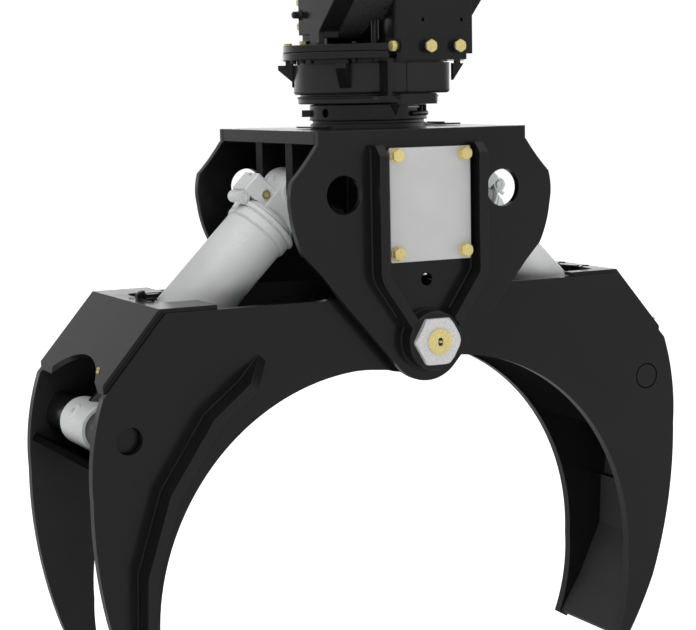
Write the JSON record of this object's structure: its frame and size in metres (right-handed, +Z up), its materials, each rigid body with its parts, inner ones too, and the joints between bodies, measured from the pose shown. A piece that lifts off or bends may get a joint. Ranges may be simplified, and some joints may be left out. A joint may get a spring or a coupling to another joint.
{
  "type": "log grapple",
  "caption": "Hydraulic log grapple: hanger and rotator above a plate head, a wide and a narrow curved arm sharing the main pin, and a cylinder driving each arm.",
  "frame": {"origin": "centre of the hanger bore, between the hanger lugs", "axes": "+X towards the narrow arm (opening direction), +Y along the main pin away from the name plate, +Z up along the rotator axis"},
  "size_m": [1.7846, 0.7312, 2.025],
  "materials": {
    "black_paint": "gloss black powder coat",
    "grey_paint": "light grey enamel",
    "chrome_rod": "hard chrome",
    "bare_plate": "plain satin plate",
    "zinc_yellow": "yellow zinc plate",
    "bright_steel": "bare machined",
    "pin_steel": "machined, oiled",
    "bronze": "turned bronze",
    "cast_motor": "painted casting"
  },
  "bodies": {
    "hanger": {"hanger_crosshead": "black_paint", "hanger_lug_bushes": "bronze", "hanger_left_cheek": "black_paint", "hanger_rear_leg": "black_paint", "hanger_arch_web": "black_paint", "hanger_right_gusset": "black_paint", "hanger_motor_box": "black_paint", "hanger_front_cover": "black_paint", "hanger_bolts": "zinc_yellow", "hanger_base_plate": "black_paint", "rotator_top_flange": "black_paint", "rotator_housing": "black_paint", "housing_gussets": "black_paint", "seal_carrier_ring": "black_paint", "rotor_bearing": "pin_steel", "hydraulic_motor": "cast_motor", "port_manifold": "black_paint"},
    "pinion": {"drive_pinion": "pin_steel"},
    "head": {"rotor_hub": "black_paint", "rotor_gear": "pin_steel", "head_top_plate": "black_paint", "head_front_plate": "black_paint", "head_rear_plate": "black_paint", "head_inner_frame": "black_paint", "head_ribs": "black_paint", "head_pin_bosses": "black_paint", "main_pin": "pin_steel", "main_pin_lock_plates": "bright_steel", "main_pin_caps": "zinc_yellow", "cylinder_base_pins": "pin_steel", "nameplate": "bare_plate", "nameplate_bolts": "zinc_yellow"},
    "left_arm": {"left_arm_front_plate": "black_paint", "left_arm_rear_plate": "black_paint", "left_arm_cover": "black_paint", "left_arm_belly_plate": "black_paint", "left_arm_pin_bosses": "black_paint", "left_rod_pin": "pin_steel", "left_arm_hubs": "black_paint", "left_arm_bushes": "bronze", "left_arm_side_bars": "black_paint"},
    "right_arm": {"right_arm_front_plate": "black_paint", "right_arm_rear_plate": "black_paint", "right_arm_cover": "black_paint", "right_arm_belly_plate": "black_paint", "right_arm_pin_bosses": "black_paint", "right_rod_pin": "pin_steel", "right_arm_hub": "black_paint", "right_arm_bushes": "bronze", "right_arm_back_plates": "black_paint"},
    "left_barrel": {"left_cylinder_barrel": "grey_paint", "left_cylinder_gland": "grey_paint", "left_cylinder_port_block": "grey_paint"},
    "left_rod": {"left_cylinder_rod": "chrome_rod", "left_cylinder_rod_eye": "grey_paint"},
    "right_barrel": {"right_cylinder_barrel": "grey_paint", "right_cylinder_gland": "grey_paint", "right_cylinder_port_block": "grey_paint"},
    "right_rod": {"right_cylinder_rod": "chrome_rod", "right_cylinder_rod_eye": "grey_paint"}
  },
  "joints": [
    {"name": "rotator_turn", "type": "hinge", "parent": "hanger", "child": "head", "pos_m": [0, 0, -0.4], "axis": [0, 0, 1], "continuous": true},
    {"name": "pinion_spin", "type": "hinge", "parent": "hanger", "child": "pinion", "pos_m": [0.075, -0.1182, -0.33], "axis": [0, 0, 1], "continuous": true},
    {"name": "left_arm_swing", "type": "hinge", "parent": "head", "child": "left_arm", "pos_m": [0, 0, -1.01], "axis": [0, -1, 0], "range_deg": [-6, 40]},
    {"name": "right_arm_swing", "type": "hinge", "parent": "head", "child": "right_arm", "pos_m": [0, 0, -1.01], "axis": [0, 1, 0], "range_deg": [-6, 40]},
    {"name": "left_cylinder_swing", "type": "hinge", "parent": "head", "child": "left_barrel", "pos_m": [-0.231, 0, -0.634], "axis": [0, -1, 0], "range_deg": [-5, 32]},
    {"name": "left_rod_slide", "type": "slide", "parent": "left_barrel", "child": "left_rod", "axis": [-0.7084, 0, -0.7059], "range_m": [-0.0415, 0.2735]},
    {"name": "right_cylinder_swing", "type": "hinge", "parent": "head", "child": "right_barrel", "pos_m": [0.231, 0, -0.634], "axis": [0, 1, 0], "range_deg": [-5, 32]},
    {"name": "right_rod_slide", "type": "slide", "parent": "right_barrel", "child": "right_rod", "axis": [0.7084, 0, -0.7059], "range_m": [-0.0415, 0.2735]}
  ],
  "couplings": [
    {"joint": "pinion_spin", "follows": "rotator_turn", "ratio": -3.6667},
    {"joint": "right_arm_swing", "follows": "left_arm_swing", "ratio": 1},
    {"joint": "left_cylinder_swing", "follows": "left_arm_swing", "ratio": 0.7876},
    {"joint": "left_rod_slide", "follows": "left_arm_swing", "m_per_rad": 0.39022},
    {"joint": "right_cylinder_swing", "follows": "left_arm_swing", "ratio": 0.7876},
    {"joint": "right_rod_slide", "follows": "left_arm_swing", "m_per_rad": 0.39022}
  ]
}
